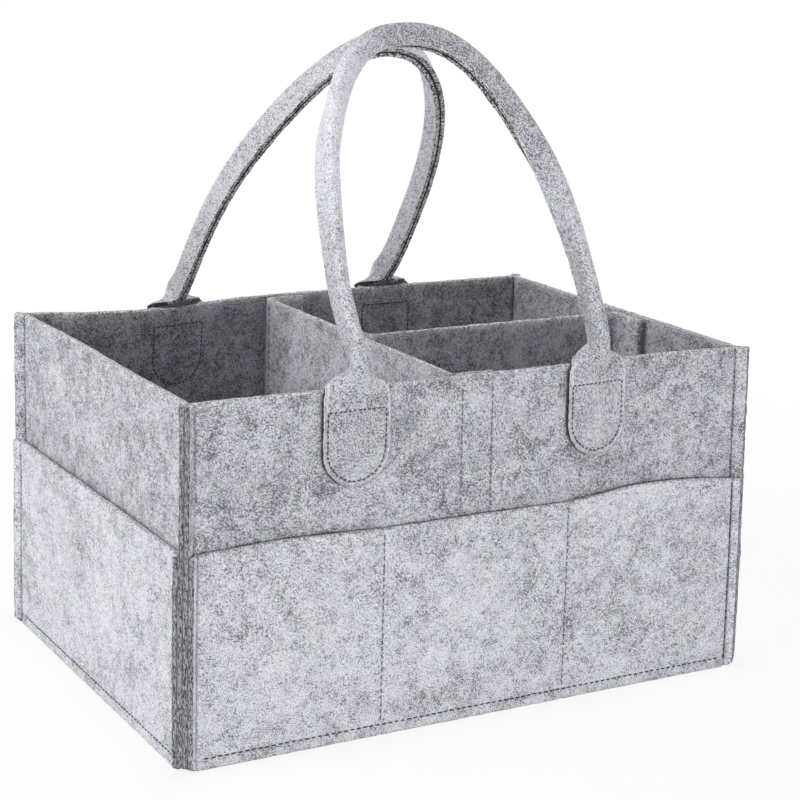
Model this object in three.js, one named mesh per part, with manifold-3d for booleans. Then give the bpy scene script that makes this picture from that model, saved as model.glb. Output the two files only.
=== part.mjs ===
// Felt diaper caddy: an open box of sewn felt panels with pockets outside, two strap handles
// and a T-shaped divider insert held by hook-and-loop tape.
// Millimetres. X runs along the long walls, Y from front to rear and Z up. The origin is under
// the middle of the base, on the surface that the caddy stands on.
import * as THREE from 'three';
import Module from 'manifold-3d';

// Felt, thread and tape
const FELT = 3;                     // thickness of every felt ply
const PLY_GAP = 0.3;                // clearance between plies that lie on each other
const THREAD = 0.8;                 // width of a line of stitches
const THREAD_RISE = 0.6;            // how far a line of stitches stands off the felt
const STITCH_INSET = 2.6;           // edge of a felt piece to its line of stitches
const TAPE_WIDTH = 20;              // hook-and-loop tape
const TAPE_THICKNESS = 1;
const TAPE_END_GAP = 6;             // bare felt at each end of a tape
const TAPE_SEAM_INSET = 1.2;        // edge of a loop tape to its line of stitches

// Box
const INSIDE_LENGTH = 320;          // between the left and right walls
const INSIDE_WIDTH = 226;           // between the front and rear walls
const WALL_HEIGHT = 180;
const SEAM_MARGIN = 8;              // bent-out margin that two walls share at each corner
const LIP_HEIGHT = 9;               // base lip, turned down inside the walls
const BOTTOM_SEAM_HEIGHT = 5.5;

// Pockets outside
const POCKET_HEIGHT = 108;
const POCKET_BULGE = 6;             // at the middle of a pocket's mouth
const POCKET_RAMP = 26;             // seam to full bulge
const POCKET_SEAM_SPACING = 109;    // between the two upright seams on the long walls

// Handles: a flat strip sewn on at both ends and folded lengthwise in between
const SEWN_SHIFT = -3.5;            // handles and pocket seams sit left of the middle
const HANDLE_SPACING = 142;         // between the middles of one handle's patches
const PATCH_WIDTH = 38;
const PATCH_LENGTH = 41;            // hinge line to the round lower end
const HINGE_DROP = 8;               // rim to the hinge line
const STRAP_SLIT = 1;               // between the two plies of the folded strap
const FOLD_START = 0.5;             // above the rim
const FOLD_LENGTH = 13;             // flat strip to folded strap
const LEAN_BEND = 24;               // length over which the strap bends inward above the rim
const FRONT_HANDLE_REACH = 182;     // rim to the arch's crown, along the leaning strap
const FRONT_HANDLE_LEAN = 27.5;     // degrees
const REAR_HANDLE_REACH = 198;
const REAR_HANDLE_LEAN = 39;        // degrees
const ARCH_POWER = 2.2;             // 2 is an ellipse, more is squarer
const ARCH_SPREAD = 0.01;           // how much the legs bow apart, as a share of the spacing

// Divider insert
const CROSS_DIVIDER_X = -15;        // middle of the divider that runs from front to rear
const LONG_DIVIDER_Y = -8;          // middle of the divider that runs to the right wall
const FLANGE_LENGTH = 25;           // turned ends that carry the hook tapes
const DIVIDER_DROP = 0.5;           // rim to the dividers' top edges

// Counts
const ARCH_STEPS = 30;
const FOLD_STEPS = 6;
const PATCH_ARC_STEPS = 12;

// Derived sizes
const HALF_LENGTH = INSIDE_LENGTH / 2;
const HALF_WIDTH = INSIDE_WIDTH / 2;
const SECOND_PLY = FELT + PLY_GAP;
const FLOOR_HEIGHT = LIP_HEIGHT + FELT;
const HINGE_HEIGHT = WALL_HEIGHT - HINGE_DROP;
const STRAP_HALF = STRAP_SLIT / 2 + FELT;
const STRAP_DEPTH = PATCH_WIDTH / 2 - STRAP_HALF;
const TAPE_STACK = 2 * TAPE_THICKNESS + 3 * PLY_GAP;
const DIVIDER_BOTTOM = FLOOR_HEIGHT + PLY_GAP;
const DIVIDER_TOP = WALL_HEIGHT - DIVIDER_DROP;
const TAPE_BOTTOM = DIVIDER_BOTTOM + TAPE_END_GAP;
const TAPE_TOP = DIVIDER_TOP - TAPE_END_GAP;
const CROSS_LEFT = CROSS_DIVIDER_X - FELT / 2;
const CROSS_RIGHT = CROSS_DIVIDER_X + FELT / 2;
const LONG_FRONT = LONG_DIVIDER_Y - FELT / 2;
const LONG_REAR = LONG_DIVIDER_Y + FELT / 2;
const FLAP_LEFT = CROSS_RIGHT + TAPE_STACK;
const FLAP_RIGHT = FLAP_LEFT + FELT;

const FINISHES = {
  felt: { color: 0xb7b8c0, roughness: 0.95 },
  strapFelt: { color: 0xb4b5bd, roughness: 0.95 },
  dividerFelt: { color: 0xaeafb8, roughness: 0.95 },
  thread: { color: 0x6d6e77, roughness: 0.8 },
  loopTape: { color: 0xc6c7cd, roughness: 0.9 },
  hookTape: { color: 0xd2d3d8, roughness: 0.6 },
};

const wasm = await Module();
wasm.setup();

const caddy = new THREE.Group();

function addMesh(parent, name, geometry, finish) {
  const material = new THREE.MeshStandardMaterial({ ...FINISHES[finish], metalness: 0 });
  const mesh = new THREE.Mesh(geometry, material);
  mesh.name = name;
  parent.add(mesh);
}

function signedVolume(positions, index) {
  const corner = (i) => new THREE.Vector3().fromArray(positions, 3 * index[i]);
  let volume = 0;
  for (let i = 0; i < index.length; i += 3) {
    volume += corner(i).dot(corner(i + 1).cross(corner(i + 2))) / 6;
  }
  return volume;
}

function indexedGeometry(positions, index) {
  const geometry = new THREE.BufferGeometry();
  geometry.setAttribute('position', new THREE.Float32BufferAttribute(positions, 3));
  geometry.setIndex(index);
  geometry.computeVertexNormals();
  return geometry;
}

// Solid between an outer and an inner surface. Each section is a row of outer points and as many
// inner ones, and neighbouring sections are joined.
function sheetSolid(sections) {
  const columns = sections[0].outer.length;
  const ring = 2 * columns;
  const last = (sections.length - 1) * ring;
  const positions = sections.flatMap(({ outer, inner }) => (
    [...outer, ...[...inner].reverse()].flatMap((point) => point.toArray())
  ));
  const index = [];
  const quad = (a, b, c, d) => index.push(a, b, c, a, c, d);
  for (let start = 0; start < last; start += ring) {
    for (let k = 0; k < ring; k += 1) {
      const next = (k + 1) % ring;
      quad(start + k, start + next, start + ring + next, start + ring + k);
    }
  }
  for (let k = 0; k < columns - 1; k += 1) {
    quad(ring - 1 - k, ring - 2 - k, k + 1, k);
    quad(last + k, last + k + 1, last + ring - 2 - k, last + ring - 1 - k);
  }
  if (signedVolume(positions, index) < 0) {
    index.reverse();
  }
  return indexedGeometry(positions, index);
}

// Box between two opposite corners
function block(low, high) {
  const size = high.map((value, axis) => value - low[axis]);
  const geometry = new THREE.BoxGeometry(...size);
  geometry.translate(...low.map((value, axis) => value + size[axis] / 2));
  return geometry;
}

function toManifold(geometry) {
  const position = geometry.getAttribute('position');
  const numbers = new Map();
  const vertices = [];
  const triangles = geometry.getIndex().array.constructor.from(geometry.getIndex().array, (at) => {
    const point = new THREE.Vector3().fromBufferAttribute(position, at).toArray();
    const key = point.join();
    if (!numbers.has(key)) {
      numbers.set(key, numbers.size);
      vertices.push(...point);
    }
    return numbers.get(key);
  });
  return new wasm.Manifold(new wasm.Mesh({
    numProp: 3,
    vertProperties: new Float32Array(vertices),
    triVerts: new Uint32Array(triangles),
  }));
}

function cut(geometry, tool) {
  const mesh = toManifold(geometry).subtract(toManifold(tool)).getMesh();
  return indexedGeometry([...mesh.vertProperties], [...mesh.triVerts]);
}

// Each wall has its own axes: u runs along it, to the right as seen from outside, and "out" is
// the distance outward from its inner face.
const WALLS = [
  { name: 'front', turn: 0, half: HALF_LENGTH, distance: HALF_WIDTH, shift: SEWN_SHIFT },
  { name: 'right', turn: 90, half: HALF_WIDTH, distance: HALF_LENGTH },
  { name: 'rear', turn: 180, half: HALF_LENGTH, distance: HALF_WIDTH, shift: -SEWN_SHIFT },
  { name: 'left', turn: 270, half: HALF_WIDTH, distance: HALF_LENGTH },
];

function wallPoint(wall, u, out, z) {
  return new THREE.Vector3(u, -(wall.distance + out), z);
}

// u at which a ply turns into its corner margin
function marginBend(wall, out) {
  return wall.half - (Math.SQRT2 - 1) * out - PLY_GAP / Math.SQRT2;
}

// Point on a corner margin, "along" the diagonal from the box's inner corner; side is -1 or 1
function marginPoint(wall, side, along, out, z) {
  const off = out + PLY_GAP / 2;
  const u = wall.half + (along - off) / Math.SQRT2;
  return wallPoint(wall, side * u, (along + off) / Math.SQRT2, z);
}

// Row of points across one face of a wall ply, from margin tip to margin tip. The stations give
// the points between the bends as [u, bulge].
function wallRow(wall, out, z, stations) {
  const bend = marginBend(wall, out);
  return [
    marginPoint(wall, -1, SEAM_MARGIN, out, z),
    wallPoint(wall, -bend, out, z),
    ...stations.map(([u, bulge]) => wallPoint(wall, u, out + bulge, z)),
    wallPoint(wall, bend, out, z),
    marginPoint(wall, 1, SEAM_MARGIN, out, z),
  ];
}

function wallSection(wall, out, z, stations = []) {
  return {
    outer: wallRow(wall, out + FELT, z, stations),
    inner: wallRow(wall, out, z, stations),
  };
}

// Upright straight bar on a wall's outside, at "out" from its inner face
function uprightBar(wall, u, out, low, high, width, rise) {
  const halfBar = width / 2;
  const corners = [wallPoint(wall, u - halfBar, out + rise, low), wallPoint(wall, u + halfBar, out, high)];
  return block(corners[0].toArray(), corners[1].toArray());
}

function addPanel(group, wall) {
  const sections = [0, WALL_HEIGHT].map((z) => wallSection(wall, 0, z));
  addMesh(group, `${wall.name}_panel`, sheetSolid(sections), 'felt');
}

function pocketSeams(wall) {
  if (wall.shift === undefined) {
    return [];
  }
  return [-1, 1].map((side) => wall.shift + side * POCKET_SEAM_SPACING / 2);
}

// The pocket sheet lies on the wall along its seams and stands off it between them
function addPocket(group, wall) {
  const bend = marginBend(wall, SECOND_PLY + FELT) - FELT;
  const edges = [-bend, ...pocketSeams(wall), bend];
  const stations = (bulge) => edges.flatMap((u, k) => {
    const flat = [[u, 0]];
    const rise = [[u + POCKET_RAMP, bulge], [edges[k + 1] - POCKET_RAMP, bulge]];
    return k < edges.length - 1 ? [...flat, ...rise] : flat;
  });
  const levels = [[0, 0], [2 * BOTTOM_SEAM_HEIGHT, 0], [POCKET_HEIGHT, POCKET_BULGE]];
  const sections = levels.map(([z, bulge]) => wallSection(wall, SECOND_PLY, z, stations(bulge)));
  addMesh(group, `${wall.name}_pocket`, sheetSolid(sections), 'felt');
}

function addPocketThreads(group, wall) {
  const out = SECOND_PLY + FELT + PLY_GAP;
  const sides = wall.name === 'front' ? ['left', 'right'] : ['right', 'left'];
  const low = BOTTOM_SEAM_HEIGHT + 2 * THREAD;
  const high = POCKET_HEIGHT - STITCH_INSET;
  pocketSeams(wall).forEach((u, k) => {
    const bar = uprightBar(wall, u, out, low, high, THREAD, THREAD_RISE);
    addMesh(group, `${wall.name}_${sides[k]}_pocket_seam`, bar, 'thread');
  });
  const reach = marginBend(wall, SECOND_PLY + FELT) - FELT;
  const foot = BOTTOM_SEAM_HEIGHT - THREAD / 2;
  const seam = uprightBar(wall, 0, out, foot, foot + THREAD, 2 * reach, THREAD_RISE);
  addMesh(group, `${wall.name}_bottom_seam`, seam, 'thread');
}

// The stitches of a corner lie on its margin and step in from the pocket to the panel
function addCornerThread(group, wall, side, name) {
  const along = (marginBend(wall, 0) - marginBend(wall, SECOND_PLY + FELT) + SEAM_MARGIN) / 2 + FELT / 2;
  const panelOut = FELT + PLY_GAP;
  const pocketOut = SECOND_PLY + FELT + PLY_GAP;
  const levels = [
    [STITCH_INSET, pocketOut],
    [POCKET_HEIGHT + PLY_GAP, pocketOut],
    [POCKET_HEIGHT + FELT, panelOut],
    [WALL_HEIGHT - STITCH_INSET, panelOut],
  ];
  const row = (out, z) => [-1, 1].map((end) => (
    marginPoint(wall, side, along + end * THREAD / 2, out, z)
  ));
  const sections = levels.map(([z, out]) => ({ outer: row(out + THREAD_RISE, z), inner: row(out, z) }));
  addMesh(group, name, sheetSolid(sections), 'thread');
}

// Outline of a handle patch, drawn in by an inset: straight sides and a round lower end
function patchOutline(PathClass, u, inset) {
  const radius = PATCH_WIDTH / 2 - inset;
  const centre = HINGE_HEIGHT - PATCH_LENGTH + PATCH_WIDTH / 2;
  const top = HINGE_HEIGHT - PLY_GAP / 2 - inset;
  const path = new PathClass();
  path.moveTo(u + radius, top);
  path.lineTo(u - radius, top);
  path.lineTo(u - radius, centre);
  path.absarc(u, centre, radius, Math.PI, 2 * Math.PI, false);
  path.closePath();
  return path;
}

// Extrudes a shape drawn in a wall's (u, z) plane, outward from "out"
function extrudeFromWall(wall, shape, out, depth) {
  const geometry = new THREE.ExtrudeGeometry(shape, {
    depth,
    bevelEnabled: false,
    curveSegments: PATCH_ARC_STEPS,
  });
  geometry.rotateX(Math.PI / 2);
  geometry.translate(0, -(wall.distance + out), 0);
  return geometry;
}

function addPatch(group, wall, u, name) {
  const patch = patchOutline(THREE.Shape, u, 0);
  addMesh(group, `${name}_patch`, extrudeFromWall(wall, patch, SECOND_PLY, FELT), 'strapFelt');
  const seam = patchOutline(THREE.Shape, u, STITCH_INSET);
  seam.holes.push(patchOutline(THREE.Path, u, STITCH_INSET + THREAD));
  const out = SECOND_PLY + FELT + PLY_GAP;
  addMesh(group, `${name}_patch_seam`, extrudeFromWall(wall, seam, out, THREAD_RISE), 'thread');
}

// Bends a handle inward above the rim: "rise" is measured up the strap from the rim and "depth"
// inward from its outer face.
function leanInward(wall, u, rise, depth, lean) {
  const angle = lean * THREE.MathUtils.clamp(rise / LEAN_BEND, 0, 1);
  const radius = LEAN_BEND / lean;
  const straight = Math.max(0, rise - LEAN_BEND);
  const inward = radius * (1 - Math.cos(angle)) + straight * Math.sin(angle) + depth * Math.cos(angle);
  const up = Math.min(rise, 0) + radius * Math.sin(angle) + straight * Math.cos(angle);
  return wallPoint(wall, u, SECOND_PLY + FELT - inward, WALL_HEIGHT + up - depth * Math.sin(angle));
}

// Middle line of a handle before it leans: from one hinge, up the leg, over the arch and down
function handleLine(wall, reach) {
  const half = HANDLE_SPACING / 2;
  const foot = FOLD_START + FOLD_LENGTH;
  const levels = [-HINGE_DROP + PLY_GAP / 2];
  for (let k = 0; k < FOLD_STEPS; k += 1) {
    levels.push(FOLD_START + FOLD_LENGTH * k / FOLD_STEPS);
  }
  const leg = levels.map((rise) => new THREE.Vector2(-half, rise));
  const arch = [];
  for (let k = 0; k <= ARCH_STEPS; k += 1) {
    const turn = Math.PI * k / ARCH_STEPS;
    const climb = Math.abs(Math.sin(turn)) ** (2 / ARCH_POWER);
    const across = -Math.sign(Math.cos(turn)) * Math.abs(Math.cos(turn)) ** (2 / ARCH_POWER);
    const bow = 1 + ARCH_SPREAD * Math.sin(Math.PI * climb) ** 2;
    arch.push(new THREE.Vector2(half * across * bow, foot + (reach - foot) * climb));
  }
  const rest = leg.map((point) => new THREE.Vector2(half, point.y)).reverse();
  return [...leg, ...arch, ...rest].map((point) => point.add(new THREE.Vector2(wall.shift, 0)));
}

// Cross-section of the strip as [across, depth] points, folded by an angle from flat to a strap
function stripSection(fold) {
  const flap = STRAP_DEPTH;
  const end = [STRAP_HALF + flap * Math.cos(fold), flap * Math.sin(fold)];
  const innerEnd = [end[0] - FELT * Math.sin(fold), end[1] + FELT * Math.cos(fold)];
  const innerCrease = [STRAP_HALF - FELT * Math.tan(fold / 2), FELT];
  const mirror = ([across, depth]) => [-across, depth];
  const crease = [STRAP_HALF, 0];
  return {
    outer: [mirror(end), mirror(crease), crease, end],
    inner: [mirror(innerEnd), mirror(innerCrease), innerCrease, innerEnd],
  };
}

function foldAngle(rise) {
  return Math.PI / 2 * THREE.MathUtils.smoothstep(rise, FOLD_START, FOLD_START + FOLD_LENGTH);
}

function addHandle(group, wall, reach, leanDegrees) {
  const line = handleLine(wall, reach);
  const lean = THREE.MathUtils.degToRad(leanDegrees);
  const sections = line.map((point, k) => {
    const before = line[Math.max(k - 1, 0)];
    const after = line[Math.min(k + 1, line.length - 1)];
    const along = after.clone().sub(before).normalize();
    const place = ([across, depth]) => leanInward(
      wall,
      point.x + across * along.y,
      point.y - across * along.x,
      depth,
      lean,
    );
    const { outer, inner } = stripSection(foldAngle(point.y));
    return { outer: outer.map(place), inner: inner.map(place) };
  });
  addMesh(group, `${wall.name}_handle`, sheetSolid(sections), 'strapFelt');
}

// Loop tape sewn inside a wall, and its two lines of stitches outside above the pocket
function addLoopTape(group, wall, u) {
  const out = -PLY_GAP - TAPE_THICKNESS;
  const tape = uprightBar(wall, u, out, TAPE_BOTTOM, TAPE_TOP, TAPE_WIDTH, TAPE_THICKNESS);
  addMesh(group, `${wall.name}_loop_tape`, tape, 'loopTape');
  const reach = TAPE_WIDTH / 2 - TAPE_SEAM_INSET;
  const low = POCKET_HEIGHT + STITCH_INSET;
  [['left', -reach], ['right', reach]].forEach(([side, step]) => {
    const bar = uprightBar(wall, u + step, FELT + PLY_GAP, low, TAPE_TOP, THREAD, THREAD_RISE);
    addMesh(group, `${wall.name}_tape_seam_${side}`, bar, 'thread');
  });
}

function addBase() {
  const halfX = HALF_LENGTH - PLY_GAP;
  const halfY = HALF_WIDTH - PLY_GAP;
  const tray = block([-halfX, -halfY, 0], [halfX, halfY, FLOOR_HEIGHT]);
  const under = block([FELT - halfX, FELT - halfY, -FELT], [halfX - FELT, halfY - FELT, LIP_HEIGHT]);
  addMesh(caddy, 'base_panel', cut(tray, under), 'felt');
}

// Upright sheet with a plan outline, between the insert's lower and upper edges
function uprightSheet(outline) {
  const shape = new THREE.Shape(outline.map(([x, y]) => new THREE.Vector2(x, y)));
  const depth = DIVIDER_TOP - DIVIDER_BOTTOM;
  const geometry = new THREE.ExtrudeGeometry(shape, { depth, bevelEnabled: false });
  geometry.translate(0, 0, DIVIDER_BOTTOM);
  return geometry;
}

// Tape standing between two plan corners
function addTape(name, low, high, finish) {
  addMesh(caddy, name, block([...low, TAPE_BOTTOM], [...high, TAPE_TOP]), finish);
}

function addDividers() {
  const end = HALF_WIDTH - TAPE_STACK;
  const tip = CROSS_LEFT + FLANGE_LENGTH;
  addMesh(caddy, 'cross_divider', uprightSheet([
    [CROSS_LEFT, -end], [tip, -end], [tip, FELT - end], [CROSS_RIGHT, FELT - end],
    [CROSS_RIGHT, end - FELT], [tip, end - FELT], [tip, end], [CROSS_LEFT, end],
  ]), 'dividerFelt');
  addMesh(caddy, 'long_divider_flap', uprightSheet([
    [FLAP_LEFT, LONG_FRONT], [FLAP_RIGHT, LONG_FRONT],
    [FLAP_RIGHT, LONG_FRONT + FLANGE_LENGTH], [FLAP_LEFT, LONG_FRONT + FLANGE_LENGTH],
  ]), 'dividerFelt');
  const near = FLAP_RIGHT + PLY_GAP;
  const far = HALF_LENGTH - TAPE_STACK;
  addMesh(caddy, 'long_divider', uprightSheet([
    [near, LONG_FRONT], [far - FELT, LONG_FRONT], [far - FELT, LONG_REAR - FLANGE_LENGTH],
    [far, LONG_REAR - FLANGE_LENGTH], [far, LONG_REAR], [near, LONG_REAR],
  ]), 'dividerFelt');

  const flangeMiddle = CROSS_LEFT + FLANGE_LENGTH / 2;
  const hookOut = PLY_GAP + TAPE_THICKNESS;
  const halfTape = TAPE_WIDTH / 2;
  [['front', -1], ['rear', 1]].forEach(([name, side]) => {
    const faces = [side * (end + PLY_GAP), side * (end + hookOut)].sort((a, b) => a - b);
    const low = [flangeMiddle - halfTape, faces[0]];
    addTape(`${name}_hook_tape`, low, [flangeMiddle + halfTape, faces[1]], 'hookTape');
  });
  const farMiddle = LONG_REAR - FLANGE_LENGTH / 2;
  const farLow = [far + PLY_GAP, farMiddle - halfTape];
  addTape('right_hook_tape', farLow, [far + hookOut, farMiddle + halfTape], 'hookTape');
  const flapMiddle = LONG_FRONT + FLANGE_LENGTH / 2;
  const loopLow = [CROSS_RIGHT + PLY_GAP, flapMiddle - halfTape];
  addTape('cross_loop_tape', loopLow, [CROSS_RIGHT + hookOut, flapMiddle + halfTape], 'loopTape');
  const hookLow = [FLAP_LEFT - hookOut, flapMiddle - halfTape];
  addTape('flap_hook_tape', hookLow, [FLAP_LEFT - PLY_GAP, flapMiddle + halfTape], 'hookTape');
  return { front: flangeMiddle, rear: -flangeMiddle, right: farMiddle };
}

addBase();
const tapePlaces = addDividers();
const handles = {
  front: [FRONT_HANDLE_REACH, FRONT_HANDLE_LEAN],
  rear: [REAR_HANDLE_REACH, REAR_HANDLE_LEAN],
};
for (const wall of WALLS) {
  const group = new THREE.Group();
  group.rotation.z = THREE.MathUtils.degToRad(wall.turn);
  caddy.add(group);
  addPanel(group, wall);
  addPocket(group, wall);
  addPocketThreads(group, wall);
  if (wall.name in tapePlaces) {
    addLoopTape(group, wall, tapePlaces[wall.name]);
  }
  if (wall.name in handles) {
    const sides = wall.name === 'front' ? ['left', 'right'] : ['right', 'left'];
    [-1, 1].forEach((side, k) => {
      const name = `${wall.name}_${sides[k]}`;
      addPatch(group, wall, wall.shift + side * HANDLE_SPACING / 2, name);
      addCornerThread(group, wall, side, `${name}_corner_seam`);
    });
    addHandle(group, wall, ...handles[wall.name]);
  }
}

export default caddy;
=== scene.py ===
"""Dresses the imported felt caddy: sewn felt sheets, folded strap handles, stitches and tapes.

Shapes are worked out in millimetres in the frame's axes, X along the long walls, Y from the front
to the rear and Z up, and written to the meshes in metres. Each wall also has its own axes: u runs
along it, to the right as seen from outside, and "out" is the distance outward from its inner face.
"""
import math
from collections import namedtuple

import bpy
import numpy as np
from mathutils import Matrix, Vector


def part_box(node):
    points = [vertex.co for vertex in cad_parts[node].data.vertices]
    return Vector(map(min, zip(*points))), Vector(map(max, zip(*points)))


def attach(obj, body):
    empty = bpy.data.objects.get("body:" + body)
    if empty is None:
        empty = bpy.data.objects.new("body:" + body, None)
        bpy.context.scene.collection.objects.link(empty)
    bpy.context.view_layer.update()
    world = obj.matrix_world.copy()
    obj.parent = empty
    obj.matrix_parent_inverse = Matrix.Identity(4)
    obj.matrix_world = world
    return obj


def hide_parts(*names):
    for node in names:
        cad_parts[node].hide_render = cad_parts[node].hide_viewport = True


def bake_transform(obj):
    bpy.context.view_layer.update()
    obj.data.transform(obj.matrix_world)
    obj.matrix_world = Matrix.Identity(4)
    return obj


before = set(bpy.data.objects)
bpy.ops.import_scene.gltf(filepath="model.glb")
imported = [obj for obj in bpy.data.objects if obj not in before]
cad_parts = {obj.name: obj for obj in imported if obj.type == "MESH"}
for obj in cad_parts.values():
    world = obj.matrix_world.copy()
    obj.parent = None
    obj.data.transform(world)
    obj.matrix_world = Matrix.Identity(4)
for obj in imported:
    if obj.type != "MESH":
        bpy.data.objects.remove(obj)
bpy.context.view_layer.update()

MM = 0.001


def box_mm(node):
    """Lowest and highest corner of a CAD node at rest, in millimetres."""
    low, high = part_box(node)
    return np.array(low) / MM, np.array(high) / MM


def extent(node, axis):
    low, high = box_mm(node)
    return high[axis] - low[axis]


def middle(node, axis):
    low, high = box_mm(node)
    return (low[axis] + high[axis]) / 2


def z_range(node):
    """Lowest and highest level of a CAD node, in millimetres."""
    low, high = box_mm(node)
    return low[2], high[2]


# Sizes that the frame gives
PLY_GAP = 0.3
FELT = extent("front_left_patch", 1)
SECOND_PLY = FELT + PLY_GAP
RIM = box_mm("front_panel")[1][2]
HALF_LENGTH = box_mm("base_panel")[1][0] + PLY_GAP
HALF_WIDTH = box_mm("base_panel")[1][1] + PLY_GAP
SEAM_MARGIN = (box_mm("front_panel")[1][0] - HALF_LENGTH) * math.sqrt(2) + PLY_GAP / 2
POCKET_TOP = box_mm("front_pocket")[1][2]
BOTTOM_SEAM = middle("front_bottom_seam", 2)
FLOOR_TOP = box_mm("base_panel")[1][2]
PATCH_WIDTH = extent("front_left_patch", 0)
PATCH_FOOT = box_mm("front_left_patch")[0][2] - RIM
PATCH_SEAM_TOP = z_range("front_left_patch_seam")[1] - RIM
STITCH_INSET = (PATCH_WIDTH - extent("front_left_patch_seam", 0)) / 2 + 0.4
DIVIDER_LOW, DIVIDER_HIGH = z_range("cross_divider")

# Felt sheets
COARSE_STEP = 4.0  # between mesh rows away from seams
RAW_EDGE_RADIUS = 0.8
PATCH_EDGE_RADIUS = 1.25
DARK_EDGE_RADIUS = 0.4  # where several cut edges lie close together
RAW_EDGE_RAGGED = 0.14
FLOOR_GAP = 0.02  # least height of any felt above the floor
UNEVEN = 0.14  # felt is never quite flat
GROOVE_DEPTH = 0.7  # where a line of stitches pulls the felt in
GROOVE_WIDTH = 1.1
GROOVE_PLACES = np.array([-3.2, -2.0, -1.2, -0.6, 0.0, 0.6, 1.2, 2.0, 3.2])
PANEL_BEND = 3.6  # radius where a wall turns into its corner margin
POCKET_BEND = 2.4
CREASE_DEPTH = 1.8  # where the corner seam pulls that bend in
CREASE_WIDTH = 0.75
SEAM_SQUEEZE = 0.84  # thickness left in a sewn corner margin
POCKET_BULGE = 1.0
POCKET_WAVE = 0.5
TIP_ROUND = 3.0  # how far the lower tip of a corner margin is rounded off
POCKET_LIFT = {"front": (1.6, 0.4, 3.6), "rear": (1.5, 0.6, 1.2), "left": (1.0,), "right": (1.0,)}
# In a strap the second slot is a painted highlight, the third its dark cut edges darkened with painted
# shade, and the fourth painted shade.
FELT_FACE, CUT_EDGE_AND_HIGHLIGHT, DARK_CUT_AND_SHADE, PAINTED_SHADE_SLOT = range(4)  # material slots of a felt piece

# How the sewn box settles
RIM_DRAW = 1.8  # how far the rim draws in on each side
RIM_CURVE = 1.3  # how fast that grows with height
LONG_WALL_START = 20.0  # distance from the middle where the set of the long walls begins
SHORT_WALL_START = 60.0
REAR_PULL = 15.0  # the leaning rear handle draws its left foot in
REAR_PULL_X = -90.0
REAR_PULL_REACH = (62.0, 44.0)  # to the left and to the right
REAR_CORNER = 30.0  # length over which the rear left corner holds its wall
FRONT_PULL = 4.0
FRONT_PULL_X = 108.0
FRONT_PULL_REACH = 40.0
PULL_FADE = 130.0  # height above the rim over which a pull dies out
# Shallow waves of each wall: height, length and seed
WAVES = {"front": (0.8, 190, 11), "rear": (0.8, 200, 12), "left": (0.9, 170, 13), "right": (0.9, 180, 14)}

# Handles
# Heights from the rim where a patch narrows, and where the strap folds
SHOULDER = {"front": (-3.0, 11.0), "rear": (-2.0, 30.0)}
FOLD = {"front": (0.2, 10.5), "rear": (0.2, 9.0)}
# How far the fold pushes the spine outward, and how much further for each millimetre of spare width
RIDGE = {"front": 7.5, "rear": 6.5}
SPARE_PUSH = {"front": 1.2, "rear": 1.6}
RIDGE_START = 5.0
RIDGE_FADE = {"front": (60.0, 150.0), "rear": (160.0, 160.0)}
RIDGE_POWER = {"front": 1.0, "rear": 0.5}
ARCH_FOOT = 13.5
LEAN_BEND = {"front": 24.0, "rear": 8.0}
STRAP_HALF = FELT + 0.8  # half the thickness of the folded strap
STRAP_DEPTH = 14.0  # from its spine to its raw edges
SPINE_RADIUS = STRAP_HALF - FELT / 2
SPINE_ARC = SPINE_RADIUS * math.pi / 2
STRAP_HALF_WIDTH = STRAP_DEPTH - FELT / 2 - SPINE_RADIUS + SPINE_ARC
FULL_FOLD = math.radians(93.5)
FLAT_FOLD = 0.3 * FULL_FOLD  # below this the strip still shows as a flat patch
SHUT_FOLD = 0.6 * FULL_FOLD  # above this its raw edges lie side by side
PATCH_GROOVE = 1.3  # how much deeper stitches lie in a patch than in a wall
ARCH_POWER = {"front": (2.5, 2.3), "rear": (2.2, 1.85)}
ARCH_SPREAD = {"front": (-0.02, 0.04), "rear": (-0.01, 0.01)}
HANDLE_REACH = {"front": 182.0, "rear": 198.0}
HANDLE_LEAN = {"front": math.radians(27.5), "rear": math.radians(37.4)}
# Twists of a strap about its own middle: degrees, and the shares of its length where each comes and goes
TWISTS = {
    "front": [(14, (0.085, 0.105), (0.11, 0.16)), (92, (0.26, 0.57), (0.6, 0.82))],
    "rear": [(-8, (0.1, 0.18), (0.36, 0.46)), (10, (0.54, 0.64), (0.82, 0.9))],
}
FOLD_OPENS = {"front": math.radians(16), "rear": 0.0}
OPEN_SPOT, OPEN_REACH = 0.335, 0.09
CROWN_TRIM = {"front": 0.18, "rear": 0.0}  # share by which the strip is narrower at its crown
CROWN_SPOT, CROWN_REACH = 0.45, 0.08
# Painted light and shade along a strap, at shares of its length: tone from 0 for the most painted shade to 1
# for the most painted light
STRAP_PAINTED_LIGHT = {
    "front": [(0, 0.42), (0.1, 0.33), (0.15, 0.33), (0.26, 0.7), (0.34, 0.95), (0.42, 0.82),
              (0.5, 0.2), (0.62, 0.25), (0.76, 0.52), (0.87, 0.22), (0.91, 0.42), (1, 0.46)],
    "rear": [(0, 0.42), (0.1, 0.35), (0.2, 0.52), (0.6, 0.6), (0.8, 0.56), (0.9, 0.35), (1, 0.42)],
}
SLIT_PINCH = 0.12  # how much thinner the felt is at the strap's raw edges
SLIT_PINCH_WIDTH = 4.0
STRIP_COLUMNS = 41
ARCH_STEP = 4.0
PATCH_STEP = 1.1

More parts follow.
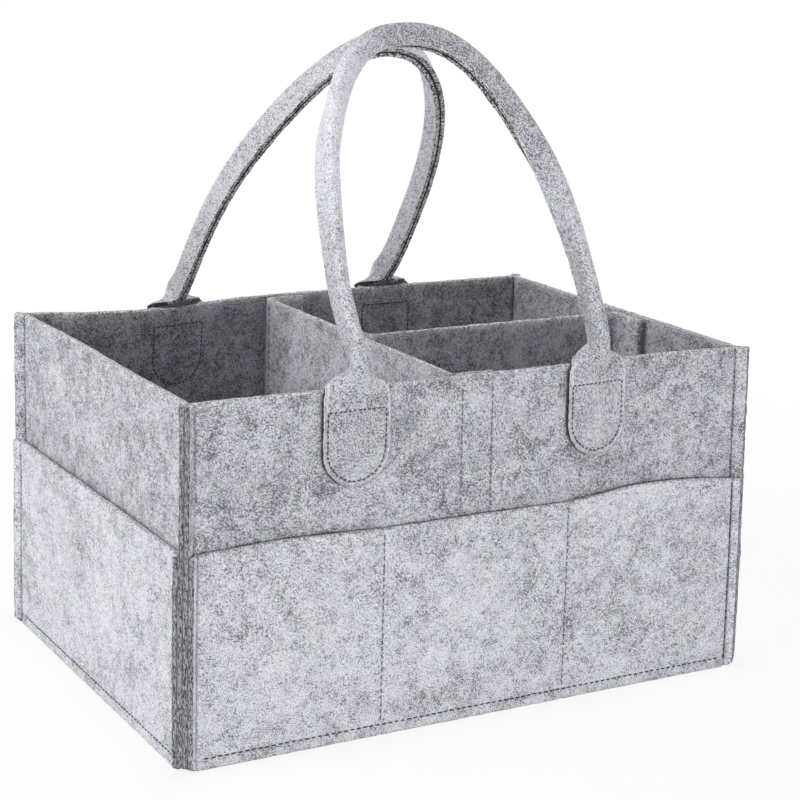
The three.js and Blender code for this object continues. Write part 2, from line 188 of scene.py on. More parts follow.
# Stitches
THREAD_RADIUS = 0.46
STITCH_PITCH = 3.6
PATCH_PITCH = 2.6
STITCH_SHARE = 0.8
STITCH_RINGS = 7
STITCH_SIDES = 6
STITCH_DRIFT = (0.02, 0.08)  # along the seam as a share of the pitch, and sideways in millimetres
SEAM_END = 4.0  # from the end of a seam to the edge of its sheet
CORNER_SEAM_STEP = 0.4  # from the bend of a corner margin to its stitches
CORNER_SEAM_DEPTH = 0.7 * CREASE_DEPTH
FOLD_SEAM = 4.5  # from the fold of the cross divider to its edge stitches
FLAP_BEND = (0.0, 4.0)  # distances from its flange of two points on the long divider, which nothing uses

# Hook and loop tapes
TAPE_SELVEDGE = 1.6
TAPE_BACKING = 0.5
HOOK_PITCH = (1.7, 1.9)

# Camera at the photograph's angle, and the floor
CAMERA_PLACE = (-516.2, -936.3, 404.9)
CAMERA_ANGLES = (29.61, 13.877, -1.507)  # degrees to the right, down and rolled
CAMERA_LENS = 90.18
LAMP_AIM = (0.0, 0.0, 120.0)
FLOOR_REACH = 12000.0
FLOOR_GLOW = 0.86  # share of plain white that the camera sees near the caddy
FLOOR_FADE = (0.3, 0.8)  # metres over which the floor turns plain white

Wall = namedtuple("Wall", "name turn half distance sides")
WALLS = [
    Wall("front", 0, HALF_LENGTH, HALF_WIDTH, ("left", "right")),
    Wall("right", 90, HALF_WIDTH, HALF_LENGTH, ()),
    Wall("rear", 180, HALF_LENGTH, HALF_WIDTH, ("right", "left")),
    Wall("left", 270, HALF_WIDTH, HALF_LENGTH, ()),
]


# Small helpers on numbers and arrays
def smooth(value, low, high):
    share = np.clip((value - low) / (high - low), 0, 1)
    return share * share * (3 - 2 * share)


def bell(value, centre, reach):
    return np.exp(-(((value - centre) / reach) ** 2))


def ripple(a, b, size, seed):
    """Smooth uneven height between about -1 and 1, with humps of about that size."""
    draw = np.random.default_rng(seed)
    total = 0
    for heading, phase, stretch in draw.uniform([0, 0, 0.7], [math.pi, 2 * math.pi, 1.5], (6, 3)):
        along = a * math.cos(heading) + b * math.sin(heading)
        total = total + np.sin(2 * math.pi * along * stretch / size + phase)
    return total / 4


def stations(low, high, step, lines=()):
    """Sorted places from low to high about a step apart, and close together around each line."""
    places = np.linspace(low, high, max(2, round((high - low) / step) + 1))
    for line in lines:
        places = places[np.abs(places - line) > GROOVE_PLACES[-1] + step / 3]
        places = np.append(places, line + GROOVE_PLACES)
    places = np.append(places[(places > low + 1) & (places < high - 1)], [low, high])
    return np.unique(places)


def groove(distance):
    return GROOVE_DEPTH * np.exp(-((distance / GROOVE_WIDTH) ** 2))


def from_wall(wall, u, out, z):
    """Points in the frame from a wall's own axes."""
    u, away, z = np.broadcast_arrays(u, -(wall.distance + np.asarray(out, float)), z)
    cos, sin = math.cos(math.radians(wall.turn)), math.sin(math.radians(wall.turn))
    return np.stack([u * cos - away * sin, u * sin + away * cos, z], axis=-1)


def wall_waves(wall_name, along, height):
    depth, size, seed = WAVES[wall_name]
    return depth * ripple(along, height, size, seed)


def settle(points, level=None):
    """The set that the sewn box takes: a rim drawn in, pulled at the rear, with shallow waves. The
    loose insert stays straight, and takes the set of one level over its whole height."""
    x, y, z = np.moveaxis(np.asarray(points, float), -1, 0)
    height = z if level is None else np.full_like(z, level)
    tilt = np.clip(height / RIM, 0, 1) ** RIM_CURVE
    fade = np.exp(-((np.clip(height - RIM, 0, None) / PULL_FADE) ** 2))
    front, rear = (smooth(side * y, LONG_WALL_START, HALF_WIDTH) for side in (-1, 1))
    left, right = (smooth(side * x, SHORT_WALL_START, HALF_LENGTH) for side in (-1, 1))
    new_x = x - RIM_DRAW * tilt * x / HALF_LENGTH
    new_y = y - RIM_DRAW * tilt * y / HALF_WIDTH
    held = smooth(x, -HALF_LENGTH, REAR_CORNER - HALF_LENGTH)
    pull = REAR_PULL * held * bell(x, REAR_PULL_X, np.where(x < REAR_PULL_X, *REAR_PULL_REACH))
    new_y = new_y - pull * tilt * fade * rear
    new_y = new_y + FRONT_PULL * bell(x, FRONT_PULL_X, FRONT_PULL_REACH) * tilt * fade * front
    for name, share in (("front", front), ("rear", rear)):
        new_y = new_y + tilt * fade * share * wall_waves(name, x, height)
    for name, share in (("left", left), ("right", right)):
        new_x = new_x + tilt * fade * share * wall_waves(name, y, height)
    return np.stack([new_x, new_y, z], axis=-1)


def body_level(body):
    return None if body == "caddy" else DIVIDER_HIGH


# Materials
def linear(red, green, blue):
    """Linear colour of an sRGB colour given in 0 to 255."""
    shares = np.array([red, green, blue]) / 255
    curved = ((shares + 0.055) / 1.055) ** 2.4
    return (*np.where(shares <= 0.04045, shares / 12.92, curved), 1.0)


class Shader:
    """A node material put together one node at a time."""

    def __init__(self, name, roughness, sheen=0.0):
        self.material = bpy.data.materials.new(name)
        self.material.use_nodes = True
        self.tree = self.material.node_tree
        self.surface = self.tree.nodes["Principled BSDF"]
        self.surface.inputs["Roughness"].default_value = roughness
        self.surface.inputs["Specular IOR Level"].default_value = 0.2
        self.surface.inputs["Sheen Weight"].default_value = sheen
        self.surface.inputs["Sheen Roughness"].default_value = 0.6

    def add(self, kind, output=0, settings=None, inputs=None):
        """Adds a node, sets or links its inputs, and returns one of its outputs."""
        node = self.tree.nodes.new(kind)
        for key, value in (settings or {}).items():
            setattr(node, key, value)
        for key, value in (inputs or {}).items():
            if isinstance(value, bpy.types.NodeSocket):
                self.tree.links.new(value, node.inputs[key])
            else:
                node.inputs[key].default_value = value
        return node.outputs[output]

    def place(self, shift, stretch=(1, 1, 1), turn=(0, 0, 0)):
        """Position in the frame, shifted so that each cut of felt has its own fibres."""
        spot = self.add("ShaderNodeTexCoord", "Object")
        angles = [math.radians(angle) for angle in turn]
        spot = self.add("ShaderNodeMapping", inputs={"Vector": spot, "Rotation": angles})
        return self.add("ShaderNodeMapping", inputs={"Vector": spot, "Location": shift, "Scale": stretch})

    def noise(self, spot, size, detail=2.0, roughness=0.5, distortion=0.0):
        """Noise with features of about that size in millimetres."""
        return self.add("ShaderNodeTexNoise", inputs={
            "Vector": spot, "Scale": 1 / (size * MM), "Detail": detail,
            "Roughness": roughness, "Distortion": distortion,
        })

    def spread(self, value, low, high, new_low=0.0, new_high=1.0):
        return self.add("ShaderNodeMapRange", inputs={
            "Value": value, "From Min": low, "From Max": high, "To Min": new_low, "To Max": new_high,
        })

    def math(self, operation, first, second=0.5):
        return self.add("ShaderNodeMath", settings={"operation": operation}, inputs={0: first, 1: second})

    def mix(self, share, first, second, mode="MIX"):
        settings = {"data_type": "RGBA", "blend_type": mode}
        return self.add("ShaderNodeMix", 2, settings, {0: share, 6: first, 7: second})

    def threads(self, spot, size, width, distortion=1.5):
        """Thin winding lines, as fibres lie in felt."""
        field = self.noise(spot, size, 1.0, 0.5, distortion)
        distance = self.math("ABSOLUTE", self.math("SUBTRACT", field, 0.5))
        return self.spread(distance, 0.0, width, 1.0, 0.0)

    def finish(self, colour, height, depth, strength):
        bump = self.add("ShaderNodeBump", inputs={
            "Height": height, "Distance": depth * MM, "Strength": strength,
        })
        self.tree.links.new(colour, self.surface.inputs["Base Color"])
        self.tree.links.new(bump, self.surface.inputs["Normal"])
        return self.material


FELT_PALE = linear(240, 240, 247)
FELT_MIDDLE = linear(182, 182, 191)
FELT_DARK = linear(66, 66, 72)
PALE_FIBRE = linear(236, 236, 242)
SPECK_SIZE = 0.72  # in millimetres, as all sizes of noise
SPECK_RANGE = (0.55, 0.65)  # noise between which a speck turns dark
FIBRE_SIZE = 0.75
FIBRE_STRETCH = (1, 1, 0.22)
FIBRE_RANGE = (0.63, 0.71)
FIBRE_TURNS = ((35, 50, 0), (-50, 20, 30), (80, 0, 45))
CLUMPS = ((3.0, 0.034), (10.0, 0.042), (50.0, 0.025))  # size, and what it adds to the dark share
TINT_SIZE, TINT_SHARE = 14, 0.09
PAINTED_LIGHT_SHADE = (0.9, 1.08)  # painted shade and painted light: colour factors of a strap's darkest and palest tone
PAINTED_LIGHT_DARK_SHARE = (0.06, -0.06)


def felt_material(name, shift, dark_share=0.0, shade=1.0, clumping=1.0, painted_light=False):
    """Pale grey felt whose dark fibres lie in uneven clumps. A higher dark share has more of them.
    A felt with painted light takes both from the tone that its mesh carries, which paints light and shade
    onto it."""
    shader = Shader(name, 0.95, 0.2)
    # Painted light and shade: the tone attribute makes the felt paler or darker along the strap.
    if painted_light:
        tone = shader.add("ShaderNodeAttribute", "Fac", {"attribute_name": "tone"})
        shade = shader.spread(tone, 0.0, 1.0, *(shade * share for share in PAINTED_LIGHT_SHADE))
        dark_share = shader.spread(tone, 0.0, 1.0, *(dark_share + more for more in PAINTED_LIGHT_DARK_SHARE))
    spot = shader.place(shift)
    other = shader.place((shift[1] + 3, shift[2], shift[0]))
    specks = shader.noise(spot, SPECK_SIZE, 2.0, 0.7)
    crowd = dark_share
    for size, most in CLUMPS:
        reach = clumping * most
        patches = shader.noise(other, size, 2.0, 0.6, 0.5)
        crowd = shader.math("ADD", shader.spread(patches, 0.3, 0.7, -reach, reach), crowd)
    dark = shader.spread(shader.math("ADD", specks, crowd), *SPECK_RANGE)
    for turn in FIBRE_TURNS:
        fibres = shader.noise(shader.place(shift, FIBRE_STRETCH, turn), FIBRE_SIZE, 1.0)
        fibres = shader.spread(shader.math("ADD", fibres, crowd), *FIBRE_RANGE, 0.0, 0.85)
        dark = shader.math("MAXIMUM", dark, fibres)
    pale_fibres = shader.threads(shader.place((shift[2], shift[0] + 5, shift[1])), 2.6, 0.03)
    base = shader.mix(shader.spread(shader.noise(other, 0.9, 2.0, 0.7), 0.34, 0.62), FELT_MIDDLE, FELT_PALE)
    base = shader.mix(shader.spread(crowd, -0.12, 0.16, 0.0, 0.6), base, FELT_MIDDLE)
    base = shader.mix(shader.math("MULTIPLY", pale_fibres, 0.5), base, PALE_FIBRE)
    tint = shader.add("ShaderNodeTexNoise", 1, inputs={
        "Vector": spot, "Scale": 1 / (TINT_SIZE * MM), "Detail": 1.0,
    })
    base = shader.mix(TINT_SHARE, base, tint, "OVERLAY")
    colour = shader.mix(shader.math("MULTIPLY", dark, 0.92), base, FELT_DARK)
    if not painted_light:
        shade = (shade, shade, shade, 1)
    colour = shader.mix(1.0, colour, shade, "MULTIPLY")
    height = shader.math("ADD", specks, shader.math("MULTIPLY", dark, -0.2))
    height = shader.math("ADD", height, shader.math("MULTIPLY", pale_fibres, 0.25))
    return shader.finish(colour, height, 0.3, 0.5)


def raw_edge_material(name, shift, dark, pale, grain=1.1, contrast=1.0, stretch=1.0):
    """Cut edge of the felt: dark and pale fibre ends, densely mixed. A stretch below 1 draws them out
    upward."""
    shader = Shader(name, 1.0, 0.2)
    spot = shader.place(shift, (1, 1, stretch))
    ends = shader.noise(spot, grain, 2.0, 0.7)
    layers = shader.noise(shader.place((shift[1], shift[0], 1)), 2.6, 2.0, 0.6, 1.0)
    reach = 0.07 / contrast
    base = shader.mix(shader.spread(ends, 0.505 - reach, 0.505 + reach), linear(*dark), linear(*pale))
    between = linear(*(np.add(dark, pale) / 2))
    colour = shader.mix(shader.spread(layers, 0.6, 0.4, 0.0, 0.35 / contrast), base, between)
    return shader.finish(colour, shader.math("ADD", ends, layers), 0.5, 0.8)


def thread_material(name, tone):
    """Spun thread: fine dark gaps between the twisted strands."""
    shader = Shader(name, 0.75, 0.15)
    strands = shader.noise(shader.place((3, 1, 2)), 0.35, 2.0, 0.6)
    pale, dark = linear(*(c + 22 for c in tone)), linear(*(c - 22 for c in tone))
    colour = shader.mix(shader.spread(strands, 0.35, 0.65), dark, pale)
    return shader.finish(colour, strands, 0.2, 0.6)


def tape_material(name, tone, size, roughness):
    shader = Shader(name, roughness, 0.2)
    spot = shader.place((5, 4, 3))
    pile = shader.noise(spot, size, 3.0, 0.7)
    rows = shader.noise(shader.place((2, 7, 1), (1, 1, 3)), 2 * size, 1.0)
    pale, dark = linear(*(c + 12 for c in tone)), linear(*(c - 34 for c in tone))
    colour = shader.mix(shader.spread(pile, 0.35, 0.62), dark, pale)
    return shader.finish(colour, shader.math("ADD", pile, rows), 0.3, 0.6)


PALE_EDGE = raw_edge_material("felt_pale_edge", (0.31, 0.17, 0.05), (112, 112, 118), (236, 236, 242))
DARK_EDGE = raw_edge_material(
    "felt_dark_edge", (0.11, 0.47, 0.25), (36, 36, 40), (174, 174, 178), grain=0.55, stretch=0.27)
# Dark fibre ends of a strap's cut edges, made darker still as painted shade of the slit between them.
SLIT_EDGE_AND_SHADE = raw_edge_material(
    "felt_slit_edge_and_shade", (0.21, 0.37, 0.65), (16, 16, 18), (208, 208, 212), grain=1.2, contrast=1.7)
# Painted shade: near-black felt for the inside of a strap's fold and the lower edge rings of its patches,
# where shade falls.
PAINTED_SHADE_EDGE = raw_edge_material("felt_painted_shade", (0.41, 0.57, 0.15), (14, 14, 16), (66, 66, 70))
# Pocket felt is paler than panel felt: partly a real difference between cuts of felt, partly painted light
# that the pockets catch from below.
PANEL_FELT = (felt_material("felt_panel", (0.0, 0.0, 0.0), 0.033, 0.97), PALE_EDGE, DARK_EDGE)
POCKET_FELT = (felt_material("felt_pocket", (0.7, 0.2, 0.4), 0.003, 1.03), PALE_EDGE, DARK_EDGE)
# Painted highlight: pale felt for a patch's rim outside its stitches and the upper ring of a strap's edge.
STRAP_PAINTED_HIGHLIGHT = felt_material("felt_strap_rim", (0.3, 0.9, 0.1), -0.035, 1.0, 0.6)
# Strap felt with painted light and shade along its length.
STRAP_FACE = felt_material("felt_strap", (0.3, 0.9, 0.1), 0.012, 0.98, 0.6, painted_light=True)
STRAP_FELT = (STRAP_FACE, STRAP_PAINTED_HIGHLIGHT, SLIT_EDGE_AND_SHADE, PAINTED_SHADE_EDGE)
# Divider felt is paler than the wall felt as painted light, making up for the shade the divider stands in.
DIVIDER_FELT = (felt_material("felt_divider", (0.5, 0.6, 0.8), 0.012, 1.14, 1.3), PALE_EDGE, DARK_EDGE)
DARK_THREAD = thread_material("thread_dark", (68, 68, 74))
GREY_THREAD = thread_material("thread_grey", (116, 116, 124))
LOOP_TAPE = tape_material("loop_tape", (198, 199, 205), 0.6, 0.95)
HOOK_TAPE = tape_material("hook_tape", (210, 211, 216), 0.9, 0.55)


# Meshes
def add_mesh(name, points, faces, materials, face_slots=None):
    """New object from points in millimetres."""
    mesh = bpy.data.meshes.new(name)
    mesh.from_pydata((np.asarray(points) * MM).tolist(), [], faces)
    for material in materials:
        mesh.materials.append(material)
    if face_slots is not None:
        mesh.polygons.foreach_set("material_index", face_slots)
    mesh.polygons.foreach_set("use_smooth", [True] * len(mesh.polygons))
    mesh.update()
    piece = bpy.data.objects.new(name, mesh)
    bpy.context.scene.collection.objects.link(piece)
    return piece


def grid_quads(rows, columns):
    at = np.arange(rows * columns).reshape(rows, columns)
    return np.stack([at[:-1, :-1], at[:-1, 1:], at[1:, 1:], at[1:, :-1]], axis=-1).reshape(-1, 4)


def unit(vectors):
    return vectors / np.maximum(np.linalg.norm(vectors, axis=-1, keepdims=True), 1e-12)


def point_normals(points, quads):
    corners = points[quads]
    facing = np.cross(corners[:, 2] - corners[:, 0], corners[:, 3] - corners[:, 1])
    normals = np.zeros_like(points)
    for corner in range(4):
        np.add.at(normals, quads[:, corner], facing)
    return unit(normals)


def boundary_loop(quads):
    """Points around the open edge of a sheet, in the order that its faces run."""
    pairs = np.concatenate([quads[:, [k, (k + 1) % 4]] for k in range(4)])
    known = set(map(tuple, pairs))
    following = {a: b for a, b in known if (b, a) not in known}
    loop = [min(following)]
    while following[loop[-1]] != loop[0]:
        loop.append(following[loop[-1]])
    return np.array(loop)


def sheet_mesh(points, quads, outer, inner, seed, radius, dark, rim):
    """Closed sheet around a middle surface: two faces and a rounded, slightly ragged raw edge. Dark
    marks the points whose raw edge is dark, and rim the points of a painted highlight on the outer face.
    Returns points, faces and the material slot of each face."""
    normals = point_normals(points, quads)
    loop = boundary_loop(quads)
    tangent = unit(points[np.roll(loop, -1)] - points[np.roll(loop, 1)])
    away, facing, brink = np.cross(tangent, normals[loop]), normals[loop], points[loop]
    radius = np.where(dark[loop], DARK_EDGE_RADIUS, radius)
    top = points + normals * outer[:, None]
    bottom = points - normals * inner[:, None]
    top[loop] -= away * radius[:, None]
    bottom[loop] -= away * radius[:, None]
    draw = np.random.default_rng(seed)
    bevel = radius * (1 - math.sqrt(0.5))
    profile = [
        (-bevel, outer[loop] - bevel), (0 * bevel, outer[loop] - radius),
        (0 * bevel, radius - inner[loop]), (-bevel, bevel - inner[loop]),
    ]
    rings = []
    for step, height in profile:
        ragged = draw.normal(0, RAW_EDGE_RAGGED, (len(loop), 1))
        rings.append(brink + away * (step[:, None] + ragged) + facing * height[:, None])
    count = len(points)
    levels = [loop, *(2 * count + k * len(loop) + np.arange(len(loop)) for k in range(4)), loop + count]
    faces = [quads, quads[:, ::-1] + count]
    for upper, lower in zip(levels, levels[1:]):
        faces.append(np.stack([np.roll(upper, -1), upper, lower, np.roll(lower, -1)], axis=-1))
    strap = dark[loop] & dark[np.roll(loop, -1)]
    edge_slots = np.tile(np.where(strap, DARK_CUT_AND_SHADE, CUT_EDGE_AND_HIGHLIGHT), (5, 1))
    face_slots = np.full(2 * len(quads), FELT_FACE)
    # Given a rim, the rim faces and the upper edge ring are a painted highlight; the inner faces of the fold
    # and the lower edge rings are painted shade.
    if rim is not None:
        face_slots[:len(quads)] = np.where(rim[quads].all(axis=1), CUT_EDGE_AND_HIGHLIGHT, FELT_FACE)
        face_slots[len(quads):] = np.where(dark[quads].all(axis=1), PAINTED_SHADE_SLOT, FELT_FACE)
        edge_slots[0] = CUT_EDGE_AND_HIGHLIGHT
        edge_slots[1:3] = np.where(strap, DARK_CUT_AND_SHADE, PAINTED_SHADE_SLOT)
        edge_slots[3:] = PAINTED_SHADE_SLOT
    slots = np.append(face_slots, edge_slots.ravel()).tolist()
    made = np.concatenate([top, bottom, *rings])
    made[:, 2] = np.maximum(made[:, 2], FLOOR_GAP)
    return made, np.concatenate(faces).tolist(), slots


def add_felt(name, points, quads, outer, inner, materials, seed,
             radius=RAW_EDGE_RADIUS, dark=False, rim=None):
    """Felt piece around a middle surface. Dark marks the points whose cut edge is the dark one, which on a
    strap also carries painted shade.
    """
    outer, inner = np.ravel(outer), np.ravel(inner)
    dark = np.broadcast_to(dark, outer.shape)
    made, faces, slots = sheet_mesh(points, quads, outer, inner, seed, radius, dark, rim)
    return add_mesh(name, made, faces, materials, slots)


def run_lengths(line):
    """Length of the way along a line to each of its points."""
    return np.append(0, np.cumsum(np.linalg.norm(np.diff(line, axis=0), axis=1)))


def points_along(at, lengths, line):
    """Values of a line's points at those lengths of the way along it."""
    return np.stack([np.interp(at, lengths, values) for values in line.T], axis=-1)


def stitch_mesh(path, normals, pitch, seed):
    """Row of separate stitches along a path. Each dips into the felt at both ends."""
    lengths = run_lengths(path)
    count = max(1, round(lengths[-1] / pitch))
    step = lengths[-1] / count
    draw = np.random.default_rng(seed)
    drift = draw.normal(0, STITCH_DRIFT[0] * step, count)
    starts = (np.arange(count) + (1 - STITCH_SHARE) / 2) * step + drift
    share = np.linspace(0, 1, STITCH_RINGS)
    at = starts[:, None] + share * STITCH_SHARE * step
    normals = unit(points_along(at, lengths, np.broadcast_to(normals, path.shape)))
    line = points_along(at, lengths, path)
    tangent = unit(np.gradient(line, axis=1))
    side = np.cross(tangent, normals)
    line = line + side * draw.normal(0, STITCH_DRIFT[1], (count, 1, 1))
    swell = np.sin(math.pi * np.clip(share, 0.06, 0.94))[None, :, None]
    line = line + normals * THREAD_RADIUS * (1.5 * swell ** 0.6 - 0.95)
    turn = np.linspace(0, 2 * math.pi, STITCH_SIDES, endpoint=False)
    girth = THREAD_RADIUS * swell ** 0.3
    ring = side[:, :, None] * (girth * np.cos(turn))[..., None]
    ring = ring + normals[:, :, None] * (0.85 * girth * np.sin(turn))[..., None]
    points = (line[:, :, None] + ring).reshape(-1, 3)
    at = np.arange(len(points)).reshape(count, STITCH_RINGS, STITCH_SIDES)
    beside = np.roll(at, -1, axis=2)
    faces = np.stack([at[:, :-1], at[:, 1:], beside[:, 1:], beside[:, :-1]], axis=-1).reshape(-1, 4).tolist()
    faces += at[:, 0].tolist() + at[:, -1, ::-1].tolist()
    return points, faces


def dress(piece, body, nodes):
    """Parents a piece to the empty of its body and hides the CAD nodes that it stands for."""
    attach(piece, body)
    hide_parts(*nodes)


def add_stitches(name, lines, material, body, nodes=(), pitch=STITCH_PITCH):
    """One piece from several lines of stitches, each a (path, normals) pair in the frame."""
    points, faces = [], []
    for number, (path, normals) in enumerate(lines):
        path = settle(path, body_level(body))
        made, made_faces = stitch_mesh(path, np.asarray(normals, float), pitch, number)
        start = sum(map(len, points))
        points.append(made)
        faces += [[start + corner for corner in face] for face in made_faces]
    dress(add_mesh(name, np.concatenate(points), faces, (material,)), body, nodes)


def straight(start, end, step=1.0):
    """Points along a straight line in the frame."""
    start, end = np.asarray(start, float), np.asarray(end, float)
    count = max(2, round(np.linalg.norm(end - start) / step) + 1)
    return start + np.linspace(0, 1, count)[:, None] * (end - start)


def upright(wall, u, out, low, high):
    """Line of points up a wall."""
    return straight(from_wall(wall, u, out, low), from_wall(wall, u, out, high))


def wall_normal(wall, side=1):
    return side * (from_wall(wall, 0, 1, 0) - from_wall(wall, 0, 0, 0))


# Walls and pockets
def straight_reach(wall, out, radius):
    """u at which a ply starts its bend into the corner margin."""
    corner = wall.half + out - math.sqrt(2) * (PLY_GAP / 2 + SEAM_SQUEEZE * out)
    return corner - radius * math.tan(math.pi / 8)


def ply_path(wall, out, radius, places):
    """Plan of a ply from margin tip to margin tip, through the places between its bends.
    Returns u, out, the share of its thickness that the corner seams leave, and how far its outer
    face is pulled in at the bends."""
    reach = straight_reach(wall, out, radius)
    turn = np.radians(np.linspace(0, 45, 9)[1:])
    off = PLY_GAP / 2 + SEAM_SQUEEZE * out
    tip = np.array([wall.half + (SEAM_MARGIN - off) / math.sqrt(2), (SEAM_MARGIN + off) / math.sqrt(2)])
    arc = np.stack([reach + radius * np.sin(turn), out + radius * (1 - np.cos(turn))], axis=-1)
    margin = arc[-1] + (np.linspace(0, 1, 8)[1:, None] ** 1.4) * (tip - arc[-1])
    end = np.concatenate([arc, margin])
    squeeze = np.append(1 - (1 - SEAM_SQUEEZE) * turn / turn[-1], np.full(len(margin), SEAM_SQUEEZE))
    u = np.concatenate([-end[::-1, 0], places, end[:, 0]])
    outs = np.concatenate([end[::-1, 1], np.full(len(places), out), end[:, 1]])
    share = np.concatenate([squeeze[::-1], np.ones(len(places)), squeeze])
    spot = arc[len(turn) // 2 - 1]
    away = np.hypot(np.abs(u) - spot[0], outs - spot[1])
    return u, outs, share, CREASE_DEPTH * np.exp(-((away / CREASE_WIDTH) ** 2))


def rounded_tips(u, reach, z):
    """Heights of a ply's points, with the lower tips of its margins rounded off."""
    share = np.clip((np.abs(u) - reach) / (np.abs(u).max() - reach), 0, 1)
    return z + TIP_ROUND * share ** 2 * np.clip(1 - z / (4 * TIP_ROUND), 0, 1) ** 2


def edge_stations(reach, lines):
    """Places across a wall, closer together toward its bends."""
    close = [0.6 - reach, 1.6 - reach, reach - 1.6, reach - 0.6]
    return np.union1d(stations(-reach, reach, COARSE_STEP, lines), close)


def wall_u(wall, node):
    """Where a CAD node's middle lies along its wall."""
    spot = np.array([middle(node, 0), middle(node, 1)])
    turn = math.radians(wall.turn)
    return float(spot @ [math.cos(turn), math.sin(turn)])


def tape_lines(wall):
    if wall.name == "left":
        return []
    return sorted(wall_u(wall, f"{wall.name}_tape_seam_{side}") for side in ("left", "right"))


def pocket_lines(wall):
    return sorted(wall_u(wall, f"{wall.name}_{side}_pocket_seam") for side in wall.sides)


def add_wall_sheet(wall, kind, materials, points, u, z, outer, inner, seed):
    """Sheet of a wall from its grid of points. Its cut edges are dark at the margins and the foot."""
    node = f"{wall.name}_{kind}"
    quads = grid_quads(len(z), len(u))
    tips = (np.abs(u) == np.abs(u).max()) | (z == 0)
    piece = add_felt(f"{node}_felt", points, quads, outer, inner, materials, seed, dark=tips.ravel())
    dress(piece, "caddy", [node])


def add_panel(wall, seed):
    out = FELT / 2
    reach = straight_reach(wall, out, PANEL_BEND)
    lines = tape_lines(wall)
    u, outs, share, crease = ply_path(wall, out, PANEL_BEND, edge_stations(reach, lines))
    z = stations(0, RIM, COARSE_STEP, [BOTTOM_SEAM])[:, None]
    points = settle(from_wall(wall, u, outs, rounded_tips(u, reach, z))).reshape(-1, 3)
    half = FELT / 2 * share
    pressed = sum(groove(u - line) for line in lines) * smooth(z, POCKET_TOP - 4, POCKET_TOP)
    outer = half + UNEVEN * ripple(u, z, 16, seed) - pressed - crease
    inner = half + UNEVEN * ripple(u, z, 18, seed + 40)
    add_wall_sheet(wall, "panel", PANEL_FELT, points, u, z, outer, inner, seed)


def pocket_shape(wall, u, z):
    """Bulge and lift of a pocket sheet: it lies flat along its seams and stands off between them."""
    reach = straight_reach(wall, SECOND_PLY + FELT / 2, POCKET_BEND)
    edges = [-reach, *pocket_lines(wall), reach]
    bulge, lift = np.zeros_like(u), np.zeros_like(u)
    for low, high, rise in zip(edges, edges[1:], POCKET_LIFT[wall.name]):
        share = np.clip((u - low) / (high - low), 0, 1)
        hump = np.sin(math.pi * share)
        bulge = bulge + hump ** 0.75
        lift = lift + rise * hump
    height = np.clip((z - 2 * BOTTOM_SEAM) / (POCKET_TOP - 2 * BOTTOM_SEAM), 0, 1)
    return POCKET_BULGE * bulge * height ** 1.15, lift * height ** 1.5


def add_pocket(wall, seed):
    out = SECOND_PLY + FELT / 2
    reach = straight_reach(wall, out, POCKET_BEND)
    lines = pocket_lines(wall)
    u, outs, share, crease = ply_path(wall, out, POCKET_BEND, edge_stations(reach, lines))
    z = stations(0, POCKET_TOP, COARSE_STEP, [BOTTOM_SEAM])[:, None]
    bulge, lift = pocket_shape(wall, u[None, :], z)
    waves = POCKET_WAVE * bulge / POCKET_BULGE * ripple(u, z, 70, seed + 7)
    heights = rounded_tips(u, reach, z) + lift
    points = settle(from_wall(wall, u, outs + bulge + waves, heights)).reshape(-1, 3)
    half = FELT / 2 * share
    pressed = sum((groove(u - line) for line in lines), 0 * u) + groove(z - BOTTOM_SEAM)
    outer = half + UNEVEN * ripple(u, z, 15, seed) - np.minimum(pressed, GROOVE_DEPTH) - crease
    inner = half + 0 * z
    add_wall_sheet(wall, "pocket", POCKET_FELT, points, u, z, outer, inner, seed)


def add_wall_stitches(wall):
    """Bottom seam, pocket seams and tape seams of one wall."""
    name, normal = wall.name, wall_normal(wall)
    pocket_face = SECOND_PLY + FELT - GROOVE_DEPTH
    reach = straight_reach(wall, SECOND_PLY + FELT / 2, POCKET_BEND) - FELT
    foot = straight(*(from_wall(wall, side * reach, pocket_face, BOTTOM_SEAM) for side in (-1, 1)))
    add_stitches(f"{name}_bottom_stitches", [(foot, normal)], DARK_THREAD, "caddy", [f"{name}_bottom_seam"])
    for side, u in zip(wall.sides, pocket_lines(wall)):
        node = f"{name}_{side}_pocket_seam"
        lines = [(upright(wall, u, pocket_face, *z_range(node)), normal)]
        add_stitches(f"{name}_{side}_pocket_stitches", lines, GREY_THREAD, "caddy", [node])
    for side, u in zip(("left", "right"), tape_lines(wall)):
        node = f"{name}_tape_seam_{side}"
        faces = ((FELT - GROOVE_DEPTH, normal), (-TAPE_BACKING, -normal))
        lines = [(upright(wall, u, face, *z_range(node)), facing) for face, facing in faces]
        add_stitches(f"{name}_tape_{side}_stitches", lines, GREY_THREAD, "caddy", [node])


def add_corner_stitches(wall, side, name):
    """Upright seam through both corner margins, seen on either face of the pinched corner."""
    lines = []
    plies = ((SECOND_PLY + FELT, SEAM_END, POCKET_TOP - 2), (FELT, POCKET_TOP + 3, RIM - SEAM_END))
    for out, low, high in plies:
        off = PLY_GAP / 2 + SEAM_SQUEEZE * out
        along = (math.sqrt(2) - 1) * off + CORNER_SEAM_STEP
        off -= CORNER_SEAM_DEPTH
        for face in (1, -1):
            spot = np.array([along - face * off, along + face * off]) / math.sqrt(2)
            ends = [from_wall(wall, side * (wall.half + spot[0]), spot[1], z) for z in (low, high)]
            tilt = from_wall(wall, -side * face, face, 0) - from_wall(wall, 0, 0, 0)
            lines.append((straight(*ends), unit(tilt)))
    add_stitches(f"{name}_corner_stitches", lines, DARK_THREAD, "caddy", [f"{name}_corner_seam"])


